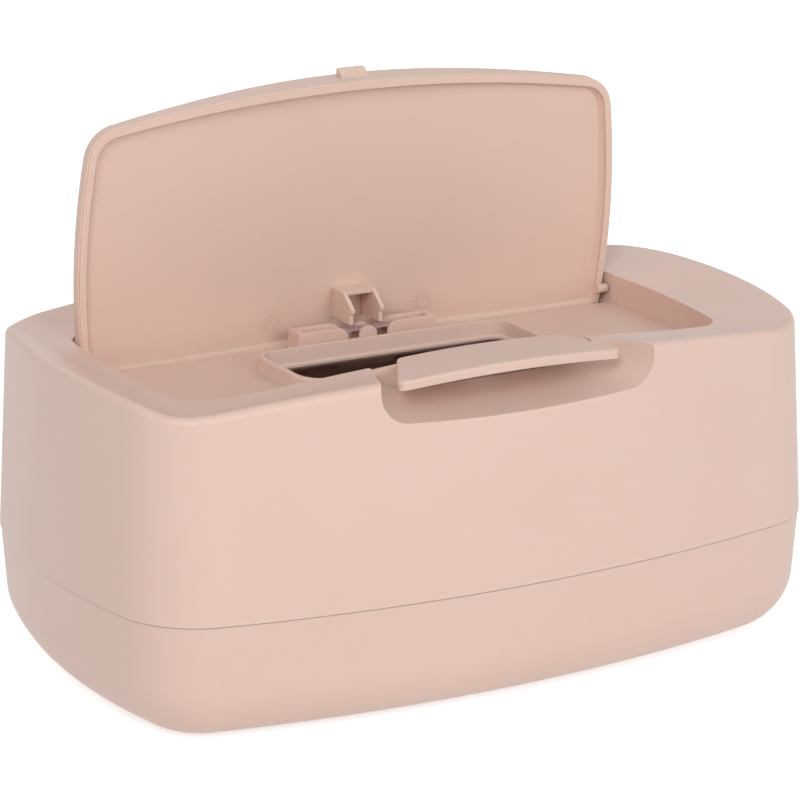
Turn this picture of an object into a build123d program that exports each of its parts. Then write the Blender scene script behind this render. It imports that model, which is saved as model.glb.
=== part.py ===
"""Baby wipes box: a crowned lid with a leaf spring hinge over a finger scoop and button.

Lengths are in millimetres. +Z is up, the front is -Y, and the origin is on the surface
under the middle of the base. The lid is stored open, as it is photographed.
"""
import os
from math import atan2, cos, degrees, exp, hypot, radians, sin

from build123d import *

# Outer shell, measured at the seam between the two halves.
LENGTH = 230.0
WIDTH = 145.8
SIDE_BOW_R = 417.0
END_BOW_R = 184.0
CORNER_R = 27.0
SEAM_Z = 37.5
SEAM_GAP = 0.3
WALL = 2.4
HOUSING_TAPER = 3.5
TAPER_RISE = 60.0
BASE_STEP = 0.3
BASE_DRAFT = 2.4
BASE_ROUND = 19.0
BASE_BOTTOM_Z = 0.8
BASE_LIP_RISE = 4.0
BASE_LIP_DEPTH = 4.0
BASE_LIP_GAP = 0.6
BASE_LIP_WALL = 1.6

# Crowned rim that dips towards the lid, and a shallow valley along the hinge.
RIM_END_Z = 98.3
RIM_CROWN = 2.7
RIM_BACK_DROP = 1.1
RIM_BACK_Y = (20.0, 70.0)
LID_END_Z = 92.6
LID_CROWN = 6.4
CROWN_REACH = 95.0
DISH_X = (88.0, 113.0)
DISH_FRONT = (44.0, 70.0)
DISH_BACK = (38.0, 70.0)
VALLEY_Y = 37.0
VALLEY_DROP = 2.6
VALLEY_SPREAD = 12.0
RIM_ROUND = 2.0
TOP_WALL = 2.2
FINE_STEPS = (17, 14)
COARSE_STEPS = (11, 9)

# Lid outline when it is closed, its lip and its hinge.
HINGE_Y = 30.6
HINGE_Z = 87.8
OPEN_ANGLE = 84.8
LID_HALF = 89.3
LID_FRONT_Y = -44.0
LID_BACK_Y = 38.0
LID_BACK_R = 9.4
LID_SIDE_BOW_R = 230.0
LID_SIDE_BOW_Y = 6.0
LID_FRONT_BOW_R = 477.0
LID_FRONT_ROUND = 10.5
LID_BACK_ROUND = 3.8
LID_GAP = 0.8
RECESS_BACK_Y = 41.3
RECESS_RELIEF = 0.6
RECESS_RELIEF_Y = (27.6, 38.0)
LID_EDGE_ROUND = 0.5
LIP_Z = 88.6
LIP_STEP = 0.5
LIP_STEP_RISE = 0.5
LIP_WIDTH = 1.9
PANEL_END_RISE = 2.3
PANEL_CROWN = 1.2
PANEL_SLOPE = 1.3

# Catch tab on the lid's front edge.
TAB_WIDTH = 8.6
TAB_REACH = 2.2
TAB_Z = 95.9
TAB_THICK = 1.4
TAB_RAMP = 2.6

# Hinge pins: fixed in the lid's edge, running in the recess walls.
PIN_R = 0.8
RUNNING_GAP = 0.06
PIN_IN_LID = 2.4
PIN_IN_WALL = 2.0
PIN_EAR = 3.0
KNUCKLE_R = 1.4
KNUCKLE_END_X = 88.9
KNUCKLE_CAP = 1.0

# Deck, hinge trough and the raised collar of the opening.
DECK_Z = 83.5
DECK_THICK = 2.2
TROUGH_Y = 29.2
TROUGH_Z = 79.6
COLLAR_HALF = 42.0
COLLAR_FRONT_Y = -21.6
COLLAR_BACK_Y = 14.5
COLLAR_Z = 88.3
COLLAR_WALL = 1.5
COLLAR_FLARE = 1.3
COLLAR_FUNNEL = 0.9
COLLAR_BEAD = 1.1
COLLAR_BEAD_Z = 84.2
COLLAR_BEAD_RISE = 1.8
COLLAR_BEAD_ROUND = 0.8
COLLAR_FRONT_ROUND = 10.5
COLLAR_BACK_ROUND = 6.5
COLLAR_EDGE_ROUND = 0.6

# Leaf spring, the slotted pads that hold it and the half discs that keep it in line.
PAD_INNER_X = 6.7
PAD_OUTER_X = 23.1
PAD_FRONT_Y = 21.4
PAD_DEPTH = 6.9
PAD_Z = 89.6
PAD_ROUND = 3.2
PAD_WALL = 0.9
STRIP_WIDTH = 3.8
STRIP_THICK = 0.4
STRIP_HALF = 20.5
STRIP_Z = 87.8
STRIP_SIDE_GAP = 0.2
STRIP_SEAT = 5.0
DISC_R = 2.9
DISC_THICK = 0.8
DISC_Z = 89.3

# Cam bracket inside the lid, as y, z points with the lid open.
BRACKET_HALF = 5.5
BRACKET_WALL = 1.2
BRACKET_TOP_Z = 98.8
BRACKET_TOP_Y = 27.2
NOSE_Y = 21.6
NOSE_Z = 94.4
NOSE_DROP = 1.0
FOOT_Y = 22.7
FOOT_START_Z = 92.8
CAM_GAP = 1.5
CAM_SLOT_GAP = 0.5
POCKET_HALF = 9.7
POCKET_R = 13.1
POCKET_BOTTOM_Z = 76.0
POCKET_ROUND = 1.0
POCKET_NOTCH_HALF = 1.3
POCKET_NOTCH_Z = 78.6
MARK_X = 25.8
MARK_Z = 90.6
MARK_R = 3.6
MARK_RISE = 0.25
MARK_RING_R = 2.1
MARK_TURN = 25.0

# Finger scoop in the front, as half width, floor height and corner radius at three depths.
SCOOP_FRONT = (-72.0, 45.2, 87.0, 9.0)
SCOOP_MIDDLE = (-59.0, 40.4, 88.6, 8.5)
SCOOP_BACK = (-46.0, 34.6, 91.9, 8.0)
SCOOP_SAG = 1.4
SCOOP_WALL = 2.2
SCOOP_LIP_Y = -48.1

# Release button.
BUTTON_HALF = 34.2
BUTTON_WALL = 1.8
BUTTON_BACK_Y = -44.7
BUTTON_TOP_Z = 98.7
BUTTON_GAP = 0.4
BUTTON_AXIS_Z = 86.2
BARREL_R = 1.9
PADDLE_CROWN_R = 400.0
PADDLE_TOP_Z = 100.4
PADDLE_BACK_Y = -44.5
PADDLE_BACK_HALF = 26.4
PADDLE_FRONT_Y = -63.6
PADDLE_FRONT_HALF = 36.2
PADDLE_BOW = 0.9
PADDLE_TILT = 2.0
PADDLE_THICK = 2.1
PADDLE_LIP = 0.5
PADDLE_LIP_WALL = 1.6
PADDLE_BACK_ROUND = 2.0
PADDLE_FRONT_ROUND = 2.0
PADDLE_EDGE_ROUND = 0.8
WINDOW_GAP = 0.7
BUTTON_PIN_R = 1.2
BUTTON_PIN_IN = 4.0
BUTTON_PIN_OUT = 3.2
TAIL_HALF = 6.0
TAIL_BOTTOM_Z = 77.5
TAIL_GAP = 0.6
ARM_BACK_Y = -37.0
ARM_THICK = 1.5
COIL_R = 2.2
COIL_WIRE_R = 0.3
COIL_TURNS = 2

# Anti-slip pads under the base.
FOOT_X = 72.0
FOOT_PAD_Y = 34.0
FOOT_R = 8.0
FOOT_SINK = 0.8


def smooth(t):
    """Return a soft step from 0 to 1 while t goes from 0 to 1."""
    t = min(max(t, 0.0), 1.0)
    return t * t * t * (10 - 15 * t + 6 * t * t)


def crown(x):
    """Return how much of the crown is left at x, from 1 in the middle to 0."""
    return (1 - min(abs(x) / CROWN_REACH, 1.0) ** 2) ** 2


def top_z(x, y):
    """Return the height of the crowned and dished top over a point."""
    reach_y = DISH_FRONT if y < 0 else DISH_BACK
    dish = 1 - smooth((abs(x) - DISH_X[0]) / (DISH_X[1] - DISH_X[0]))
    dish *= 1 - smooth((abs(y) - reach_y[0]) / (reach_y[1] - reach_y[0]))
    low = LID_END_Z + LID_CROWN * crown(x)
    high = RIM_END_Z + RIM_CROWN * crown(x)
    high -= RIM_BACK_DROP * smooth((y - RIM_BACK_Y[0]) / (RIM_BACK_Y[1] - RIM_BACK_Y[0]))
    valley = VALLEY_DROP * crown(x) * exp(-((y - VALLEY_Y) / VALLEY_SPREAD) ** 2)
    return dish * low + (1 - dish) * high - valley


def above_top(steps, drop=0.0):
    """Return the space over the top surface, lowered by drop."""
    nx, ny = steps
    xs = [LENGTH / 2 * 1.06 * i / nx for i in range(-nx, nx + 1)]
    ys = [WIDTH / 2 * 1.08 * i / ny for i in range(-ny, ny + 1)]
    rows = [[Vector(x, y, top_z(x, y) - drop) for y in ys] for x in xs]
    return extrude(Face.make_surface_from_array_of_points(rows), 40, (0, 0, 1))


def box(x, y, z):
    """Return a box between pairs of limits in x, y and z."""
    size = Box(x[1] - x[0], y[1] - y[0], z[1] - z[0])
    return Pos((x[0] + x[1]) / 2, (y[0] + y[1]) / 2, (z[0] + z[1]) / 2) * size


def rod(radius, x, y, z):
    """Return a rod along X between a pair of limits, centred on y, z."""
    return Pos((x[0] + x[1]) / 2, y, z) * Rot(0, 90, 0) * Cylinder(radius, x[1] - x[0])


def both_sides(shape):
    """Return the shape with its mirror image across the middle."""
    return shape + mirror(shape, Plane.YZ)


def shell_plan(inset=0.0):
    """Return the bowed outline of the box, moved inwards by inset."""
    half_x = LENGTH / 2 - inset
    half_y = WIDTH / 2 - inset
    side_r = SIDE_BOW_R - inset
    end_r = END_BOW_R - inset
    plan = Pos(0, side_r - half_y) * Circle(side_r)
    plan &= Pos(0, half_y - side_r) * Circle(side_r)
    plan &= Pos(end_r - half_x, 0) * Circle(end_r)
    plan &= Pos(half_x - end_r, 0) * Rot(0, 0, 180) * Circle(end_r)
    return fillet(plan.vertices(), CORNER_R - inset)


def lid_plan(grow=0.0):
    """Return the lid's outline, moved outwards by grow."""
    side_r = LID_SIDE_BOW_R + grow
    front_r = LID_FRONT_BOW_R + grow
    side_x = side_r - LID_HALF - grow
    back_y = RECESS_BACK_Y + grow - LID_GAP if grow > 0 else LID_BACK_Y + grow
    plan = Pos(side_x, LID_SIDE_BOW_Y) * Circle(side_r)
    plan &= Pos(-side_x, LID_SIDE_BOW_Y) * Rot(0, 0, 180) * Circle(side_r)
    plan &= Pos(0, LID_FRONT_Y - grow + front_r) * Circle(front_r)
    plan &= Pos(0, back_y - LENGTH / 2) * Rectangle(LENGTH * 2, LENGTH)
    front = plan.vertices().sort_by(Axis.Y)[:2]
    plan = fillet(front, LID_FRONT_ROUND + grow)
    back = plan.vertices().sort_by(Axis.Y)[-2:]
    return fillet(back, LID_BACK_ROUND + grow)


def rise(plan, low, high):
    """Return a plan drawn up from one height to another."""
    return extrude(Pos(0, 0, low) * plan, high - low)


def scoop_section(section, grow=0.0):
    """Return one upright section of the finger scoop, grown all round."""
    y, half, floor, corner = section
    top = RIM_END_Z + 20
    mid = (top + floor - grow) / 2
    face = Rectangle(2 * (half + grow), top - floor + grow)
    bow_r = half ** 2 / (2 * SCOOP_SAG) + grow
    face &= Pos(0, bow_r - (top - floor + grow) / 2) * Circle(bow_r)
    low = face.vertices().sort_by(Axis.Y)[:2]
    face = fillet(low, corner + grow)
    return Pos(0, y, mid) * Rot(90, 0, 0) * face


def scoop(grow=0.0):
    """Return the concave finger scoop, or its shell when grown."""
    sections = (SCOOP_FRONT, SCOOP_MIDDLE, SCOOP_BACK)
    return loft([scoop_section(section, grow) for section in sections])


def collar_plan(grow=0.0):
    """Return the outline of the opening's collar, moved outwards by grow."""
    depth = COLLAR_BACK_Y - COLLAR_FRONT_Y + 2 * grow
    middle = (COLLAR_BACK_Y + COLLAR_FRONT_Y) / 2
    plan = Pos(0, middle) * Rectangle(2 * (COLLAR_HALF + grow), depth)
    corners = plan.vertices().sort_by(Axis.Y)
    front = COLLAR_FRONT_ROUND + grow
    plan = fillet(corners[:2], front)
    return fillet(plan.vertices().sort_by(Axis.Y)[-2:], COLLAR_BACK_ROUND + grow)


def make_collar():
    """Return the collar, flared outside and narrowing inside to a rounded bead."""
    bead_low = COLLAR_BEAD_Z - COLLAR_BEAD_RISE
    ring = loft(
        [
            Pos(0, 0, DECK_Z - 1) * collar_plan(COLLAR_FLARE),
            Pos(0, 0, COLLAR_Z) * collar_plan(),
        ]
    )
    ring = fillet(ring.edges().group_by(Axis.Z)[-1], COLLAR_EDGE_ROUND)
    ring += rise(collar_plan(COLLAR_FLARE), DECK_Z - DECK_THICK, DECK_Z - 1)
    foot = -COLLAR_WALL - COLLAR_FUNNEL
    ring -= loft(
        [
            Pos(0, 0, COLLAR_BEAD_Z - 1) * collar_plan(foot),
            Pos(0, 0, COLLAR_Z) * collar_plan(-COLLAR_WALL),
        ]
    )
    ring -= rise(collar_plan(foot), 0, DECK_Z)
    bead = rise(collar_plan(foot + 0.5) - collar_plan(foot - COLLAR_BEAD), bead_low, COLLAR_BEAD_Z)
    faces = bead.faces().sort_by(Axis.Z)
    inner = faces[0].inner_wires()[0].edges() + faces[-1].inner_wires()[0].edges()
    return ring + fillet(inner, COLLAR_BEAD_ROUND)


def spring_pad():
    """Return the slotted pad on the right that holds one end of the strip."""
    middle_x = (PAD_INNER_X + PAD_OUTER_X) / 2
    height = PAD_Z - DECK_Z + DECK_THICK / 2
    side = Rectangle(PAD_OUTER_X - PAD_INNER_X, height)
    inner = side.vertices().sort_by(Axis.X)[:2].sort_by(Axis.Y)[-1:]
    side = fillet(inner, PAD_ROUND)
    side = Pos(middle_x, PAD_FRONT_Y, PAD_Z - height / 2) * Rot(90, 0, 0) * side
    pad = extrude(side, PAD_DEPTH, (0, 1, 0))
    slot_y = (PAD_FRONT_Y + PAD_WALL, PAD_FRONT_Y + PAD_WALL + STRIP_WIDTH + 2 * STRIP_SIDE_GAP)
    pad -= box((0, STRIP_HALF + STRIP_SIDE_GAP), slot_y, (STRIP_Z, PAD_Z + 5))
    return pad - box((0, STRIP_HALF - STRIP_SEAT), slot_y, (DECK_Z, PAD_Z + 5))


def half_disc(y):
    """Return one half disc beside the strip, standing on the deck."""
    post = box((-DISC_R, DISC_R), (y, y + DISC_THICK), (DECK_Z - 1, DISC_Z - DISC_R))
    disc = Pos(0, y + DISC_THICK / 2, DISC_Z - DISC_R) * Rot(90, 0, 0) * Cylinder(DISC_R, DISC_THICK)
    return post + disc


def cam_pocket():
    """Return the rounded pocket under the deck that the cam walls dip into."""
    limits = box(
        (-POCKET_HALF, POCKET_HALF),
        (HINGE_Y - POCKET_R, HINGE_Y - 1),
        (POCKET_BOTTOM_Z, DECK_Z - DECK_THICK / 2),
    )
    pocket = limits & rod(POCKET_R, (-POCKET_HALF, POCKET_HALF), HINGE_Y, HINGE_Z)
    sides = [e for e in pocket.edges() if abs(e.center().X) > POCKET_HALF - 0.01]
    sides = [e for e in sides if e.center().Y < HINGE_Y - 4 and e.center().Z < DECK_Z - DECK_THICK]
    pocket = fillet(sides, POCKET_ROUND)
    middle = BRACKET_HALF - BRACKET_WALL / 2
    notch = box(
        (middle - POCKET_NOTCH_HALF, middle + POCKET_NOTCH_HALF),
        (0, HINGE_Y - 5),
        (POCKET_NOTCH_Z, DECK_Z - DECK_THICK),
    )
    notch = fillet(notch.edges().filter_by(Axis.Y).group_by(Axis.Z)[0], POCKET_NOTCH_HALF * 0.9)
    return pocket - both_sides(notch)


def make_housing():
    """Return the upper half with its rim, recess, deck, scoop and bearings."""
    low = SEAM_Z + SEAM_GAP / 2
    high = RIM_END_Z + 12
    lean = HOUSING_TAPER * (high - low) / TAPER_RISE
    outer = loft([Pos(0, 0, low) * shell_plan(), Pos(0, 0, high) * shell_plan(lean)], ruled=True)
    outer -= above_top(FINE_STEPS)
    rim = [e for e in outer.edges() if e.center().Z > RIM_END_Z - 8]
    outer = fillet(rim, RIM_ROUND)
    inner = loft(
        [Pos(0, 0, low) * shell_plan(WALL), Pos(0, 0, high) * shell_plan(WALL + lean)],
        ruled=True,
    )
    inner -= above_top(COARSE_STEPS, TOP_WALL)
    body = outer - inner

    # Recess for the lid with its deck and hinge trough, and the bowl of the scoop.
    under = DECK_Z - DECK_THICK
    lump = rise(lid_plan(LID_GAP + TOP_WALL), under, high)
    trough = box((-LENGTH, LENGTH), (TROUGH_Y, WIDTH), (TROUGH_Z, high))
    trough_shell = rise(lid_plan(LID_GAP + TOP_WALL), TROUGH_Z - DECK_THICK, under + 1)
    lump += trough_shell & box((-LENGTH, LENGTH), (TROUGH_Y - DECK_THICK, WIDTH), (0, high))
    bowl = scoop(SCOOP_WALL) & box((-LENGTH, LENGTH), (-WIDTH, SCOOP_LIP_Y), (0, high))
    boss_y = BUTTON_BACK_Y - BUTTON_WALL / 2
    boss = box(
        (BUTTON_HALF + BUTTON_GAP, BUTTON_HALF + BUTTON_GAP + BUTTON_PIN_OUT + 1),
        (boss_y - BARREL_R - 0.7, boss_y + BARREL_R + 0.7),
        (under, BUTTON_AXIS_Z + BARREL_R + 0.7),
    )
    ear_x = LID_HALF + LID_GAP
    ear = box(
        (ear_x - 1, ear_x + PIN_EAR + 1.5),
        (HINGE_Y - PIN_EAR, HINGE_Y + PIN_EAR),
        (TROUGH_Z - DECK_THICK, high),
    )
    body += (lump + bowl + both_sides(boss + ear)) & outer
    pocket = rise(lid_plan(LID_GAP), DECK_Z, high)
    pocket += rise(lid_plan(LID_GAP), TROUGH_Z, high) & trough
    relief = box((-LENGTH, LENGTH), RECESS_RELIEF_Y, (0, high))
    pocket += rise(lid_plan(LID_GAP + RECESS_RELIEF), DECK_Z, high) & relief
    body -= pocket

    # Notch for the button, open to the recess, the scoop and the space under the deck.
    body -= scoop() & box((-LENGTH, LENGTH), (-WIDTH, SCOOP_LIP_Y), (0, high))
    half = BUTTON_HALF + BUTTON_GAP
    body -= box((-half, half), (SCOOP_LIP_Y, LID_FRONT_Y + 3), (DECK_Z, high))
    tail = TAIL_HALF + TAIL_GAP
    tail_y = (BUTTON_BACK_Y - BUTTON_WALL - TAIL_GAP, BUTTON_BACK_Y + 2.4)
    body -= box((-tail, tail), tail_y, (DECK_Z - 5, DECK_Z + 1))

    # Collar round the opening, its outside flared down to the deck.
    body -= rise(collar_plan(-COLLAR_WALL / 2), 0, high)
    body += make_collar()
    body -= rise(collar_plan(-COLLAR_WALL / 2), 0, COLLAR_BEAD_Z - COLLAR_BEAD_RISE)

    # Spring pads, half discs and the slots that the lid's cam walls dip into.
    body += both_sides(spring_pad())
    body += half_disc(PAD_FRONT_Y)
    body += half_disc(PAD_FRONT_Y + PAD_WALL + STRIP_WIDTH + 2 * STRIP_SIDE_GAP)
    body += cam_pocket()
    cam = BRACKET_HALF - BRACKET_WALL - CAM_SLOT_GAP
    cam_out = BRACKET_HALF + CAM_SLOT_GAP
    sweep = hypot(HINGE_Y - NOSE_Y, NOSE_Z - HINGE_Z) + CAM_SLOT_GAP
    slot = box((cam, cam_out), (HINGE_Y - sweep, HINGE_Y - 1), (POCKET_NOTCH_Z, DECK_Z + 1))
    body -= both_sides(slot & rod(sweep, (cam, cam_out), HINGE_Y, HINGE_Z))

    # Bores for the hinge pins and the button pins.
    bore = PIN_R + RUNNING_GAP
    reach = ear_x + PIN_IN_WALL
    body -= both_sides(rod(bore, (ear_x - 2, reach + 0.4), HINGE_Y, HINGE_Z))
    bore = BUTTON_PIN_R + RUNNING_GAP
    body -= both_sides(
        rod(bore, (half - 1, half + BUTTON_PIN_OUT), boss_y, BUTTON_AXIS_Z)
    )
    return body


def open_up(shape):
    """Return a closed-lid shape turned to the open position."""
    turn = Pos(0, HINGE_Y, HINGE_Z) * Rot(-OPEN_ANGLE, 0, 0) * Pos(0, -HINGE_Y, -HINGE_Z)
    return turn * shape


def panel_z(x):
    """Return the height of the lid's underside panel when the lid is closed."""
    return LIP_Z + PANEL_END_RISE + PANEL_CROWN * crown(x)


def panel_y(z):
    """Return how far back the open lid's panel is in the middle, at a height."""
    lean = radians(OPEN_ANGLE)
    off = panel_z(0) - HINGE_Z
    return HINGE_Y + (off - (z - HINGE_Z) * cos(lean)) / sin(lean)


def cam_bracket():
    """Return the open box with two cam walls, on the panel of the open lid."""
    foot_z = STRIP_Z + STRIP_THICK + CAM_GAP
    points = [
        (panel_y(BRACKET_TOP_Z) + 0.8, BRACKET_TOP_Z),
        (BRACKET_TOP_Y, BRACKET_TOP_Z),
        (NOSE_Y, NOSE_Z),
        (NOSE_Y, NOSE_Z - NOSE_DROP),
        (FOOT_Y, FOOT_START_Z),
        (FOOT_Y, foot_z),
        (panel_y(foot_z) + 0.8, foot_z),
    ]
    side = Plane.YZ * make_face(Polyline(points, close=True))
    wall = Pos(BRACKET_HALF - BRACKET_WALL, 0, 0) * extrude(side, BRACKET_WALL, (1, 0, 0))
    top_y = (BRACKET_TOP_Y, panel_y(BRACKET_TOP_Z) + 0.8)
    top = box((-BRACKET_HALF, BRACKET_HALF), top_y, (BRACKET_TOP_Z - BRACKET_WALL, BRACKET_TOP_Z))
    return both_sides(wall) + top


def mould_mark(x):
    """Return a ring of raised ticks with a pointer, on the closed lid's panel."""
    low = -MARK_RISE
    high = low + MARK_RISE + 0.5
    tick = box((-0.18, 0.18), (MARK_RING_R, MARK_R), (low, high))
    ring = Circle(MARK_RING_R + 0.2) - Circle(MARK_RING_R - 0.2)
    pointer = box((-0.2, 0.2), (-MARK_RING_R, MARK_RING_R), (low, high))
    mark = rise(ring, low, high) + Rot(0, 0, MARK_TURN) * pointer
    for step in range(12):
        mark += Rot(0, 0, 30 * step) * tick
    slope = degrees(atan2(panel_z(x - 1) - panel_z(x + 1), 2))
    return Pos(x, HINGE_Y - MARK_Z + HINGE_Z, panel_z(x)) * Rot(0, slope, 0) * mark


def catch_tab():
    """Return the catch tab with its ramp, on the closed lid's front edge."""
    root = LID_FRONT_Y + 2
    tip = LID_FRONT_Y - TAB_REACH
    points = [
        (root, TAB_Z + TAB_THICK),
        (tip, TAB_Z + TAB_THICK),
        (tip, TAB_Z),
        (LID_FRONT_Y, TAB_Z - TAB_RAMP),
        (root, TAB_Z - TAB_RAMP),
    ]
    side = Plane.YZ * make_face(Polyline(points, close=True))
    return Pos(-TAB_WIDTH / 2, 0, 0) * extrude(side, TAB_WIDTH, (1, 0, 0))


def make_lid():
    """Return the lid, turned open about its hinge."""
    body = rise(lid_plan(), LIP_Z, RIM_END_Z + 12) - above_top(FINE_STEPS)
    rim = [e for e in body.edges() if e.center().Z > LIP_Z + 0.8]
    body = fillet(rim, LID_EDGE_ROUND)
    body -= rise(lid_plan() - lid_plan(-LIP_STEP), LIP_Z - 1, LIP_Z + LIP_STEP_RISE)
    panel = [(x, panel_z(x)) for x in range(-95, 96, 10)]
    floor = Polyline(panel[-1], (95, LIP_Z - 5), (-95, LIP_Z - 5), panel[0])
    under = Pos(0, WIDTH, 0) * Rot(90, 0, 0) * make_face([Spline(*panel), floor])
    under = extrude(under, 2 * WIDTH, (0, -1, 0)) & rise(lid_plan(-LIP_STEP - LIP_WIDTH), 0, 120)
    corner = [e for e in under.edges() if e.center().Z > LIP_Z + 1]
    body -= chamfer(corner, PANEL_SLOPE)
    behind = box((-LENGTH, LENGTH), (HINGE_Y, WIDTH), (0, WIDTH))
    body -= behind - rod(LID_BACK_R, (-LENGTH, LENGTH), HINGE_Y, HINGE_Z)
    body += catch_tab()
    knuckle = (KNUCKLE_END_X - PIN_IN_LID - KNUCKLE_CAP, KNUCKLE_END_X)
    body += both_sides(rod(KNUCKLE_R, knuckle, HINGE_Y, HINGE_Z))
    body -= both_sides(rod(PIN_R, (KNUCKLE_END_X - PIN_IN_LID, LENGTH), HINGE_Y, HINGE_Z))
    body += both_sides(mould_mark(MARK_X))
    return open_up(body) + cam_bracket()


def hinge_pin(side):
    """Return the pin at one end of the lid's hinge."""
    ends = (KNUCKLE_END_X - PIN_IN_LID, LID_HALF + LID_GAP + PIN_IN_WALL)
    pin = rod(PIN_R, ends, HINGE_Y, HINGE_Z)
    return pin if side > 0 else mirror(pin, Plane.YZ)


def make_leaf_spring():
    """Return the flat strip that the lid's cam walls press on."""
    low_y = PAD_FRONT_Y + PAD_WALL + STRIP_SIDE_GAP
    return box((-STRIP_HALF, STRIP_HALF), (low_y, low_y + STRIP_WIDTH), (STRIP_Z, STRIP_Z + STRIP_THICK))


def make_base():
    """Return the lower half with its rounded bottom and the lip that locates the top."""
    seam = SEAM_Z - SEAM_GAP / 2
    low = BASE_BOTTOM_Z
    foot = BASE_STEP + BASE_DRAFT
    outer = loft([Pos(0, 0, low) * shell_plan(foot), Pos(0, 0, seam) * shell_plan(BASE_STEP)], ruled=True)
    outer = fillet(outer.edges().group_by(Axis.Z)[0], BASE_ROUND)
    floor = low + WALL
    inner = loft(
        [Pos(0, 0, floor) * shell_plan(foot + WALL), Pos(0, 0, seam) * shell_plan(BASE_STEP + WALL)],
        ruled=True,
    )
    inner = fillet(inner.edges().group_by(Axis.Z)[0], BASE_ROUND - WALL)
    body = outer - inner
    lip_out = WALL + BASE_LIP_GAP
    core = shell_plan(lip_out + BASE_LIP_WALL)
    body += rise(shell_plan(WALL) - core, seam - BASE_LIP_DEPTH, seam)
    body += rise(shell_plan(lip_out) - core, seam - BASE_LIP_DEPTH, SEAM_Z + BASE_LIP_RISE)
    for x in (-FOOT_X, FOOT_X):
        for y in (-FOOT_PAD_Y, FOOT_PAD_Y):
            body -= Pos(x, y, low) * Cylinder(FOOT_R, 2 * FOOT_SINK)
    return body


def foot_pad(x, y):
    """Return one anti-slip pad, sunk into the underside."""
    height = BASE_BOTTOM_Z + FOOT_SINK
    pad = Pos(x, y, height / 2) * Cylinder(FOOT_R, height)
    return fillet(pad.edges().group_by(Axis.Z)[0], 0.4)


def paddle_plan(inset=0.0):
    """Return the outline of the button's paddle seen from above."""
    corner_y = PADDLE_FRONT_Y + PADDLE_BOW
    left_back = (-PADDLE_BACK_HALF, PADDLE_BACK_Y)
    right_back = (PADDLE_BACK_HALF, PADDLE_BACK_Y)
    right_front = (PADDLE_FRONT_HALF, corner_y)
    left_front = (-PADDLE_FRONT_HALF, corner_y)
    sides = Polyline(left_front, left_back, right_back, right_front)
    front = ThreePointArc(right_front, (0, PADDLE_FRONT_Y), left_front)
    plan = make_face([sides, front])
    plan = fillet(plan.vertices().sort_by(Axis.Y)[:2], PADDLE_FRONT_ROUND)
    plan = fillet(plan.vertices().sort_by(Axis.Y)[-2:], PADDLE_BACK_ROUND)
    return offset(plan, -inset) if inset else plan


def crowned_layer(top, thick):
    """Return a crowned layer under a height at the paddle's back edge, tilted with it."""
    ring = Circle(PADDLE_CROWN_R) - Circle(PADDLE_CROWN_R - thick)
    arch = Pos(0, 0, -PADDLE_CROWN_R) * Rot(90, 0, 0) * ring
    layer = Pos(0, 20, 0) * extrude(arch, 60, (0, -1, 0))
    return Pos(0, PADDLE_BACK_Y, top) * Rot(PADDLE_TILT, 0, 0) * layer


def make_button():
    """Return the paddle with its upright wall, barrel, tail and spring arm."""
    axis_y = BUTTON_BACK_Y - BUTTON_WALL / 2
    wall_y = (BUTTON_BACK_Y - BUTTON_WALL, BUTTON_BACK_Y)
    plate = rise(paddle_plan(), SEAM_Z, 120) & crowned_layer(PADDLE_TOP_Z, PADDLE_THICK)
    skirt = rise(paddle_plan() - paddle_plan(PADDLE_LIP_WALL), SEAM_Z, 120)
    skirt &= crowned_layer(PADDLE_TOP_Z, PADDLE_THICK + PADDLE_LIP)
    skirt &= box((-LENGTH, LENGTH), (-WIDTH, PADDLE_FRONT_Y + PADDLE_BOW + 2), (SEAM_Z, 120))
    plate += skirt
    top = plate.faces().sort_by(Axis.Z)[-1]
    plate = fillet(top.edges(), PADDLE_EDGE_ROUND)
    wall = box((-BUTTON_HALF, BUTTON_HALF), wall_y, (BUTTON_AXIS_Z, 120))
    crown_side = Circle(PADDLE_CROWN_R)
    crown_side = Pos(0, 0, BUTTON_TOP_Z - PADDLE_CROWN_R) * Rot(90, 0, 0) * crown_side
    wall &= Pos(0, WIDTH, 0) * extrude(crown_side, 2 * WIDTH, (0, -1, 0))
    body = plate + wall + rod(BARREL_R, (-BUTTON_HALF, BUTTON_HALF), axis_y, BUTTON_AXIS_Z)
    window = TAB_WIDTH / 2 + WINDOW_GAP
    window_y = (wall_y[0] - 1, wall_y[1] + 1)
    window_z = (TAB_Z - TAB_RAMP - WINDOW_GAP, TAB_Z + TAB_THICK + WINDOW_GAP)
    body -= box((-window, window), window_y, window_z)
    body += box((-TAIL_HALF, TAIL_HALF), wall_y, (TAIL_BOTTOM_Z, BUTTON_AXIS_Z))
    arm_y = (wall_y[0], ARM_BACK_Y)
    body += box((-TAIL_HALF, TAIL_HALF), arm_y, (TAIL_BOTTOM_Z, TAIL_BOTTOM_Z + ARM_THICK))
    ends = (BUTTON_HALF - BUTTON_PIN_IN, LENGTH)
    return body - both_sides(rod(BUTTON_PIN_R, ends, axis_y, BUTTON_AXIS_Z))


def button_pin(side):
    """Return the pin at one end of the button's barrel."""
    axis_y = BUTTON_BACK_Y - BUTTON_WALL / 2
    ends = (BUTTON_HALF - BUTTON_PIN_IN, BUTTON_HALF + BUTTON_GAP + BUTTON_PIN_OUT - 0.2)
    pin = rod(BUTTON_PIN_R, ends, axis_y, BUTTON_AXIS_Z)
    return pin if side > 0 else mirror(pin, Plane.YZ)


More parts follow.
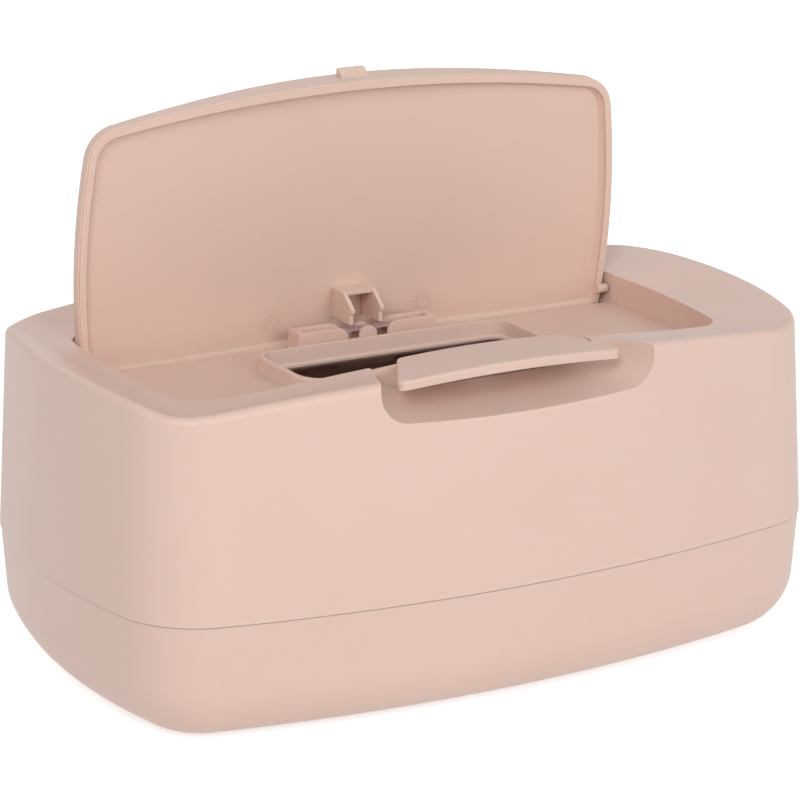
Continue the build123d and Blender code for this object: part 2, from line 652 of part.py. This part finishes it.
def make_coil():
    """Return the small coil between the button's arm and the deck."""
    low = TAIL_BOTTOM_Z + ARM_THICK
    high = DECK_Z - DECK_THICK
    rise_z = high - low - 2 * COIL_WIRE_R
    path = Helix(rise_z / COIL_TURNS, rise_z, COIL_R)
    wire = Plane(path @ 0, z_dir=path % 0) * Circle(COIL_WIRE_R)
    coil = sweep(wire, path)
    return Pos(0, ARM_BACK_Y - COIL_R - COIL_WIRE_R, low + COIL_WIRE_R) * coil


os.makedirs("parts", exist_ok=True)
nodes = {
    "base_tray": make_base(),
    "foot_front_left": foot_pad(-FOOT_X, -FOOT_PAD_Y),
    "foot_front_right": foot_pad(FOOT_X, -FOOT_PAD_Y),
    "foot_back_left": foot_pad(-FOOT_X, FOOT_PAD_Y),
    "foot_back_right": foot_pad(FOOT_X, FOOT_PAD_Y),
    "upper_housing": make_housing(),
    "lid": make_lid(),
    "hinge_pin_left": hinge_pin(-1),
    "hinge_pin_right": hinge_pin(1),
    "leaf_spring": make_leaf_spring(),
    "release_button": make_button(),
    "button_pin_left": button_pin(-1),
    "button_pin_right": button_pin(1),
    "button_spring": make_coil(),
}
for name, shape in nodes.items():
    export_step(shape, f"parts/{name}.step")
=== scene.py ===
"""Baby wipes box: finishes and studio over the CAD frame.

Lengths are in metres in Blender and in millimetres where a name ends in _mm. +Z is up,
the front with its release button is -Y, and the lid stands open as in the photograph.
"""

import logging
from dataclasses import dataclass
from enum import Enum
from math import cos, radians, sin

import bpy
from mathutils import Matrix, Vector

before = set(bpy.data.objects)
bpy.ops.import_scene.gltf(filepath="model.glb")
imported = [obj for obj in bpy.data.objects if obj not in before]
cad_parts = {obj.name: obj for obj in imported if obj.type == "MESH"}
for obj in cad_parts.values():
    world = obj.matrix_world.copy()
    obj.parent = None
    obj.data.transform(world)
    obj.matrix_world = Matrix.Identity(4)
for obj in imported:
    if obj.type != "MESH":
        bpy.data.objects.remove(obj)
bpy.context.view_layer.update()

LOG = logging.getLogger("wipes_box")
MM = 0.001
WHITE = (1.0, 1.0, 1.0, 1.0)

# Sockets of the colour mix node, which Blender tells apart by number only.
MIX_FIRST, MIX_SECOND, MIX_RESULT = 6, 7, 2

# How far each finish strays from its own roughness, below and above.
PLASTIC_SPREAD = (0.03, 0.03)
STEEL_SPREAD = (0.07, 0.10)

# Light inside the plastic: its share, and how far red, green and blue go next to each other.
GLOW_SHARE = 0.5
GLOW_REACH = (1.0, 0.72, 0.62)

# Detail and roughness of the noise behind the slow drift of tone and behind the grain.
FLOW_DETAIL, FLOW_ROUGHNESS = 3.0, 0.45
GRAIN_DETAIL, GRAIN_ROUGHNESS = 2.0, 0.6
GRAIN_STRENGTH = 0.55

# The lines on steel run along X, as the pins do.
LINE_DETAIL = 2.0
LINE_STRETCH = (0.08, 1.0, 1.0)


class Grain(Enum):
    """How a moulded surface was finished, as grain size and depth in millimetres."""

    SPARK_ERODED = (0.45, 0.010)
    FINE_MATT = (0.30, 0.004)
    POLISHED = (1.20, 0.001)


def linear(colour: str) -> tuple[float, float, float, float]:
    """Turn an sRGB hex colour into linear values.

    Args:
        colour: Six hex digits with a leading hash.

    Returns:
        Red, green, blue and an alpha of 1.
    """
    parts = [int(colour[at:at + 2], 16) / 255 for at in (1, 3, 5)]
    values = [p / 12.92 if p <= 0.04045 else ((p + 0.055) / 1.055) ** 2.4 for p in parts]
    return (values[0], values[1], values[2], 1.0)


def per_mm(size_mm: float) -> float:
    """Give the scale of a pattern whose features are this many millimetres apart."""
    return 1.0 / (size_mm * MM)


def roughness_range(middle: float, spread: tuple[float, float]) -> dict[str, float]:
    """Give the limits of a roughness that strays this far below and above its middle."""
    return {"To Min": middle - spread[0], "To Max": middle + spread[1]}


def add_node(
    tree: bpy.types.NodeTree,
    kind: str,
    settings: dict[str, object] | None = None,
    links: dict[str | int, bpy.types.NodeSocket] | None = None,
) -> bpy.types.Node:
    """Add one node with its settings and its links.

    Args:
        tree: Node tree that gets the node.
        kind: Blender's name for the type of node.
        settings: Values by the name of an input socket, or of a property of the node.
        links: Output sockets by the name or number of the input that each one feeds.

    Returns:
        The new node.
    """
    node = tree.nodes.new(kind)
    for name, value in (settings or {}).items():
        if name in node.inputs:
            node.inputs[name].default_value = value
        else:
            setattr(node, name, value)
    for name, socket in (links or {}).items():
        tree.links.new(socket, node.inputs[name])
    return node


def shown_as_background(tree: bpy.types.NodeTree) -> bpy.types.NodeSocket:
    """Tell the rays that show the background from those that carry its light.

    Args:
        tree: Node tree of the floor or of the world.

    Returns:
        A socket with 1 for what the camera, a mirror or glass shows, and 0 for soft light.
    """
    path = add_node(tree, "ShaderNodeLightPath")
    direct = add_node(
        tree, "ShaderNodeMath", {"operation": "MAXIMUM"},
        {0: path.outputs["Is Camera Ray"], 1: path.outputs["Is Glossy Ray"]},
    )
    shown = add_node(
        tree, "ShaderNodeMath", {"operation": "MAXIMUM"},
        {0: direct.outputs[0], 1: path.outputs["Is Transmission Ray"]},
    )
    return shown.outputs[0]


def new_tree(name: str) -> tuple[bpy.types.Material, bpy.types.NodeTree]:
    """Make an empty material.

    Args:
        name: Name of the material.

    Returns:
        The material and its node tree.
    """
    material = bpy.data.materials.new(name)
    material.use_nodes = True
    material.node_tree.nodes.clear()
    return material, material.node_tree


@dataclass(frozen=True)
class MouldedPlastic:
    """Injection-moulded plastic: one colour all through, with a faint grain off the tool."""

    name: str
    colour: str
    shade: str
    roughness: float
    ior: float = 1.49
    grain: Grain = Grain.FINE_MATT
    flow_mm: float = 38.0
    glow_mm: float = 0.0

    def material(self) -> bpy.types.Material:
        """Build the material.

        Returns:
            A material whose tone drifts slowly and whose surface has the tool's grain.
        """
        material, tree = new_tree(self.name)
        place = add_node(tree, "ShaderNodeTexCoord").outputs["Object"]
        flow = add_node(
            tree, "ShaderNodeTexNoise",
            {
                "Scale": per_mm(self.flow_mm),
                "Detail": FLOW_DETAIL,
                "Roughness": FLOW_ROUGHNESS,
            },
            {"Vector": place},
        )
        tone = add_node(
            tree, "ShaderNodeMix", {"data_type": "RGBA"}, {"Factor": flow.outputs["Fac"]}
        )
        tone.inputs[MIX_FIRST].default_value = linear(self.colour)
        tone.inputs[MIX_SECOND].default_value = linear(self.shade)
        sheen = add_node(
            tree, "ShaderNodeMapRange",
            roughness_range(self.roughness, PLASTIC_SPREAD),
            {"Value": flow.outputs["Fac"]},
        )
        size_mm, depth_mm = self.grain.value
        grain = add_node(
            tree, "ShaderNodeTexNoise",
            {
                "Scale": per_mm(size_mm),
                "Detail": GRAIN_DETAIL,
                "Roughness": GRAIN_ROUGHNESS,
            },
            {"Vector": place},
        )
        bump = add_node(
            tree, "ShaderNodeBump",
            {"Strength": GRAIN_STRENGTH, "Distance": depth_mm * MM},
            {"Height": grain.outputs["Fac"]},
        )
        shader = add_node(
            tree, "ShaderNodeBsdfPrincipled",
            {"IOR": self.ior, "Metallic": 0.0},
            {
                "Base Color": tone.outputs[MIX_RESULT],
                "Roughness": sheen.outputs["Result"],
                "Normal": bump.outputs["Normal"],
            },
        )
        if self.glow_mm > 0:
            shader.inputs["Subsurface Weight"].default_value = GLOW_SHARE
            shader.inputs["Subsurface Radius"].default_value = GLOW_REACH
            shader.inputs["Subsurface Scale"].default_value = self.glow_mm * MM
        add_node(tree, "ShaderNodeOutputMaterial", None, {"Surface": shader.outputs["BSDF"]})
        return material


@dataclass(frozen=True)
class DrawnSteel:
    """Drawn steel wire: grey, with fine lines along the pull."""

    name: str
    colour: str
    roughness: float = 0.32
    line_mm: float = 0.25

    def material(self) -> bpy.types.Material:
        """Build the material.

        Returns:
            A metal whose roughness changes along fine lines.
        """
        material, tree = new_tree(self.name)
        place = add_node(tree, "ShaderNodeTexCoord").outputs["Object"]
        stretch = add_node(
            tree, "ShaderNodeMapping", {"Scale": LINE_STRETCH}, {"Vector": place}
        )
        lines = add_node(
            tree, "ShaderNodeTexNoise",
            {"Scale": per_mm(self.line_mm), "Detail": LINE_DETAIL},
            {"Vector": stretch.outputs["Vector"]},
        )
        sheen = add_node(
            tree, "ShaderNodeMapRange",
            roughness_range(self.roughness, STEEL_SPREAD),
            {"Value": lines.outputs["Fac"]},
        )
        shader = add_node(
            tree, "ShaderNodeBsdfPrincipled",
            {"Base Color": linear(self.colour), "Metallic": 1.0},
            {"Roughness": sheen.outputs["Result"]},
        )
        add_node(tree, "ShaderNodeOutputMaterial", None, {"Surface": shader.outputs["BSDF"]})
        return material


# Polypropylene from one dusty pink melt, moulded in fine matt tools. Its highlights are
# broad and soft, and some light goes a little way into the wall and warms the edges.
SHELL_PP = MouldedPlastic(
    "polypropylene_dusty_pink_outer", "#DEC3B7", "#DBBFB2", roughness=0.44, glow_mm=2.4
)
LID_PP = MouldedPlastic(
    "polypropylene_dusty_pink_lid", "#E0C4B7", "#DCC0B2", roughness=0.55, glow_mm=2.4
)
BUTTON_PP = MouldedPlastic(
    "polypropylene_dusty_pink_button", "#DAC0B4", "#D7BCAF", roughness=0.50, glow_mm=2.4
)
# Acetal spring strip: grey-lilac, smooth and faintly waxy.
STRIP_POM = MouldedPlastic(
    "acetal_grey_lilac_strip", "#B49A9B", "#AD9496", roughness=0.30,
    grain=Grain.POLISHED, flow_mm=9.0, glow_mm=0.8,
)
# Thermoplastic rubber pads: pale, dull and a little chalky.
PAD_TPE = MouldedPlastic(
    "thermoplastic_rubber_pad", "#CFC9C4", "#C6BFBA", roughness=0.78,
    grain=Grain.SPARK_ERODED, flow_mm=6.0,
)
# Drawn steel of the hinge and button pins, and the harder, brighter wire of the coil.
PIN_STEEL = DrawnSteel("drawn_steel_pin", "#B9BBBE")
COIL_STEEL = DrawnSteel("spring_steel_coil", "#AEB0B4", roughness=0.28, line_mm=0.18)


def dress(node: str, material: bpy.types.Material) -> bpy.types.Object:
    """Give a CAD node its real finish.

    Args:
        node: Name of the CAD node.
        material: Material that it is made of.

    Returns:
        The node's object.
    """
    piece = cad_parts[node]
    piece.data.materials.clear()
    piece.data.materials.append(material)
    return piece


@dataclass
class BaseHalf:
    """Lower half with its rounded bottom and the four pads under it."""

    tray: str = "base_tray"
    pads: tuple[str, ...] = (
        "foot_front_left", "foot_front_right", "foot_back_left", "foot_back_right"
    )

    def build(self) -> list[bpy.types.Object]:
        """Dress the tray and its pads.

        Returns:
            The finished pieces.
        """
        pad = PAD_TPE.material()
        pieces = [dress(self.tray, SHELL_PP.material())]
        return pieces + [dress(name, pad) for name in self.pads]


@dataclass
class UpperHalf:
    """Upper half with its rim, recess, collar and scoop, and the springs that it carries."""

    housing: str = "upper_housing"
    strip: str = "leaf_spring"
    coil: str = "button_spring"

    def build(self) -> list[bpy.types.Object]:
        """Dress the housing, its leaf spring and the button's coil.

        Returns:
            The finished pieces.
        """
        return [
            dress(self.housing, SHELL_PP.material()),
            dress(self.strip, STRIP_POM.material()),
            dress(self.coil, COIL_STEEL.material()),
        ]


@dataclass
class Lid:
    """Crowned lid with its cam bracket, catch tab and hinge pins."""

    panel: str = "lid"
    pins: tuple[str, ...] = ("hinge_pin_left", "hinge_pin_right")

    def build(self) -> list[bpy.types.Object]:
        """Dress the lid and its pins.

        Returns:
            The finished pieces.
        """
        steel = PIN_STEEL.material()
        pieces = [dress(self.panel, LID_PP.material())]
        return pieces + [dress(name, steel) for name in self.pins]


@dataclass
class ReleaseButton:
    """Paddle over the finger scoop, with the pins that it tips on."""

    paddle: str = "release_button"
    pins: tuple[str, ...] = ("button_pin_left", "button_pin_right")

    def build(self) -> list[bpy.types.Object]:
        """Dress the paddle and its pins.

        Returns:
            The finished pieces.
        """
        steel = PIN_STEEL.material()
        pieces = [dress(self.paddle, BUTTON_PP.material())]
        return pieces + [dress(name, steel) for name in self.pins]


@dataclass(frozen=True)
class Lamp:
    """A soft white rectangular studio light aimed at a point."""

    name: str
    place: tuple[float, float, float]
    aim: tuple[float, float, float]
    size: tuple[float, float]
    power: float

    def build(self) -> bpy.types.Object:
        """Make the lamp.

        Returns:
            The lamp's object.
        """
        data = bpy.data.lights.new(self.name, "AREA")
        data.shape = "RECTANGLE"
        data.size, data.size_y = self.size
        data.energy = self.power
        lamp = bpy.data.objects.new(self.name, data)
        lamp.location = self.place
        toward = Vector(self.aim) - Vector(self.place)
        lamp.rotation_mode = "QUATERNION"
        lamp.rotation_quaternion = toward.to_track_quat("-Z", "Y")
        bpy.context.scene.collection.objects.link(lamp)
        return lamp


@dataclass
class Studio:
    """Pale floor, soft light and the photograph's camera."""

    camera_place: tuple[float, float, float] = (-0.45026, -0.81883, 0.35174)
    camera_toward: tuple[float, float, float] = (0.46083, 0.83982, -0.28693)
    camera_roll: float = 0.159
    lens: float = 149.9
    sensor: float = 36.0
    clip: tuple[float, float] = (0.02, 60.0)
    floor_size: float = 12.0
    floor_colour: str = "#F4F3F2"
    floor_glow: float = 0.62
    lamps: tuple[Lamp, ...] = (
        Lamp("key", (-1.15, -1.35, 1.25), (0.0, 0.0, 0.06), (0.9, 0.9), 14.5),
        Lamp("front", (0.35, -2.0, 0.7), (0.0, 0.0, 0.06), (1.0, 1.0), 12.5),
        Lamp("back", (0.3, 1.7, 1.3), (0.0, 0.0, 0.06), (1.2, 1.2), 2.4),
    )
    sky_left: float = 0.46
    sky_right: float = 0.51

    def build(self) -> None:
        """Make the camera, floor, world and lamps."""
        self.camera()
        self.floor()
        self.world()
        for lamp in self.lamps:
            lamp.build()
        bpy.context.scene.view_settings.view_transform = "Standard"

    def camera(self) -> bpy.types.Object:
        """Set the camera at the photograph's angle.

        Returns:
            The camera's object.
        """
        data = bpy.data.cameras.new("camera")
        data.lens = self.lens
        data.sensor_width = self.sensor
        data.clip_start, data.clip_end = self.clip
        camera = bpy.data.objects.new("camera", data)
        forward = Vector(self.camera_toward).normalized()
        right = forward.cross(Vector((0, 0, 1))).normalized()
        up = right.cross(forward)
        roll = radians(self.camera_roll)
        across = right * cos(roll) + up * sin(roll)
        above = up * cos(roll) - right * sin(roll)
        axes = Matrix((across, above, -forward)).transposed().to_4x4()
        camera.matrix_world = Matrix.Translation(self.camera_place) @ axes
        bpy.context.scene.collection.objects.link(camera)
        bpy.context.scene.camera = camera
        return camera

    def floor(self) -> bpy.types.Object:
        """Lay the pale floor that takes the object's shadow.

        Returns:
            The floor's object.
        """
        material, tree = new_tree("matt_studio_card")
        card = add_node(tree, "ShaderNodeBsdfDiffuse", {"Color": linear(self.floor_colour)})
        glow = add_node(
            tree, "ShaderNodeEmission", {"Color": WHITE, "Strength": self.floor_glow}
        )
        lit = add_node(
            tree, "ShaderNodeAddShader", None,
            {0: card.outputs["BSDF"], 1: glow.outputs["Emission"]},
        )
        choice = add_node(
            tree, "ShaderNodeMixShader", None,
            {0: shown_as_background(tree), 1: card.outputs["BSDF"], 2: lit.outputs["Shader"]},
        )
        add_node(tree, "ShaderNodeOutputMaterial", None, {"Surface": choice.outputs["Shader"]})
        mesh = bpy.data.meshes.new("floor")
        half = self.floor_size / 2
        corners = [(-half, -half, 0), (half, -half, 0), (half, half, 0), (-half, half, 0)]
        mesh.from_pydata(corners, [], [(0, 1, 2, 3)])
        mesh.materials.append(material)
        floor = bpy.data.objects.new("floor", mesh)
        bpy.context.scene.collection.objects.link(floor)
        return floor

    def world(self) -> None:
        """Light the object softly from all round, less from the left, on a white background."""
        world = bpy.data.worlds.new("studio")
        bpy.context.scene.world = world
        world.use_nodes = True
        tree = world.node_tree
        tree.nodes.clear()
        way = add_node(tree, "ShaderNodeTexCoord").outputs["Generated"]
        parts = add_node(tree, "ShaderNodeSeparateXYZ", None, {"Vector": way})
        sky = add_node(
            tree, "ShaderNodeMapRange",
            {"From Min": -1.0, "From Max": 1.0, "To Min": self.sky_left, "To Max": self.sky_right},
            {"Value": parts.outputs["X"]},
        )
        strength = add_node(
            tree, "ShaderNodeMapRange", {"To Max": 1.0},
            {"Value": shown_as_background(tree), "To Min": sky.outputs["Result"]},
        )
        back = add_node(
            tree, "ShaderNodeBackground", {"Color": WHITE},
            {"Strength": strength.outputs["Result"]},
        )
        add_node(tree, "ShaderNodeOutputWorld", None, {"Surface": back.outputs["Background"]})


def main() -> None:
    """Build every sub-assembly and the studio, in order."""
    logging.basicConfig(level=logging.INFO, format="%(name)s: %(message)s")
    for part in (BaseHalf(), UpperHalf(), Lid(), ReleaseButton()):
        for piece in part.build():
            LOG.info("%s: %s", type(part).__name__, piece.name)
    Studio().build()


if __name__ == "__main__":
    main()
